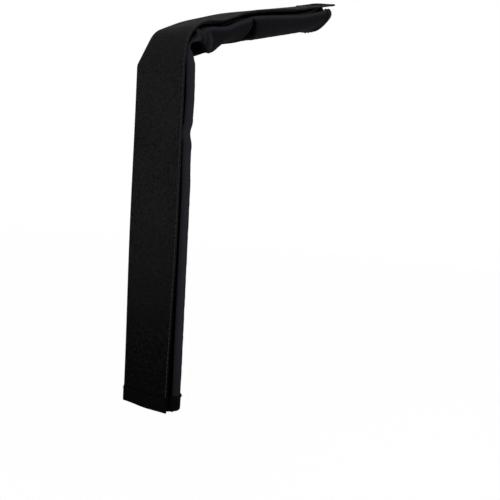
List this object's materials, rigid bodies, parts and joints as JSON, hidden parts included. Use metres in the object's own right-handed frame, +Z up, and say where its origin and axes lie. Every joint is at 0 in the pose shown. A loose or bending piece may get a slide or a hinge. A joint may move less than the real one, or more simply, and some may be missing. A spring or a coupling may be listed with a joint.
{
  "type": "rope protector sleeve",
  "caption": "Wrap-round canvas sleeve folded over an edge: a wide front flap closes over an underlap with a hook-and-loop strip, round a hollow for a rope.",
  "frame": {"origin": "the point on the underside of the arm, midway across it, where the sleeve lies on the top of the edge, 0.15 m along the front face from the first crease", "axes": "+Z up, opposite to the way the leg hangs; +X from the wall side of the leg back over the top of the edge, along the arm, which rises 13.4 degrees; +Y towards the fold that carries the flap"},
  "size_m": [0.269, 0.0398, 0.3105],
  "materials": {
    "canvas": "black coated canvas, tight plain weave, dull sheen",
    "lining": "black lining cloth, soft and dull",
    "hooks": "black woven hook tape",
    "loops": "black loop tape, fuzzy",
    "binding": "black folded binding tape, stitched"
  },
  "bodies": {
    "arm_body": {"arm_cover": "canvas", "arm_lining": "lining", "arm_body_end_tape": "binding", "corner_cover": "canvas", "corner_lining": "lining", "corner_underlap": "canvas", "corner_hook_strip": "hooks", "corner_flap": "canvas", "corner_loop_strip": "loops", "corner_flap_edge_tape": "binding"},
    "leg_body": {"leg_cover": "canvas", "leg_lining": "lining", "leg_body_end_tape": "binding"},
    "leg_flap_body": {"leg_flap": "canvas", "leg_loop_strip": "loops", "leg_flap_edge_tape": "binding", "leg_flap_end_tape": "binding"},
    "leg_underlap_body": {"leg_underlap": "canvas", "leg_hook_strip": "hooks", "leg_underlap_end_tape": "binding"},
    "arm_flap_body": {"arm_flap": "canvas", "arm_loop_strip": "loops", "arm_flap_edge_tape": "binding", "arm_flap_end_tape": "binding"},
    "arm_underlap_body": {"arm_underlap": "canvas", "arm_hook_strip": "hooks", "arm_underlap_end_tape": "binding"}
  },
  "joints": [
    {"name": "corner_bend", "type": "hinge", "parent": "arm_body", "child": "leg_body", "pos_m": [-0.13745, 0, -0.02459], "axis": [0, 1, 0], "range_deg": [-35, 75], "deforming": ["corner_cover", "corner_lining", "corner_underlap", "corner_hook_strip", "corner_flap", "corner_loop_strip", "corner_flap_edge_tape"]},
    {"name": "leg_flap_open", "type": "hinge", "parent": "leg_body", "child": "leg_flap_body", "pos_m": [-0.14164, 0.0192, -0.2557], "axis": [0, 0, -1], "range_deg": [0, 160]},
    {"name": "leg_underlap_open", "type": "hinge", "parent": "leg_body", "child": "leg_underlap_body", "pos_m": [-0.13834, -0.0149, -0.25809], "axis": [0, 0, 1], "range_deg": [0, 40]},
    {"name": "arm_flap_open", "type": "hinge", "parent": "arm_body", "child": "arm_flap_body", "pos_m": [0.12572, 0.0192, 0.05065], "axis": [-0.9728, 0, -0.2317], "range_deg": [0, 160]},
    {"name": "arm_underlap_open", "type": "hinge", "parent": "arm_body", "child": "arm_underlap_body", "pos_m": [0.105, -0.0149, 0.0408], "axis": [0.9728, 0, 0.2317], "range_deg": [0, 40]}
  ],
  "couplings": [
    {"joint": "leg_underlap_open", "follows": "leg_flap_open", "ratio": 0.25},
    {"joint": "arm_underlap_open", "follows": "arm_flap_open", "ratio": 0.25}
  ]
}
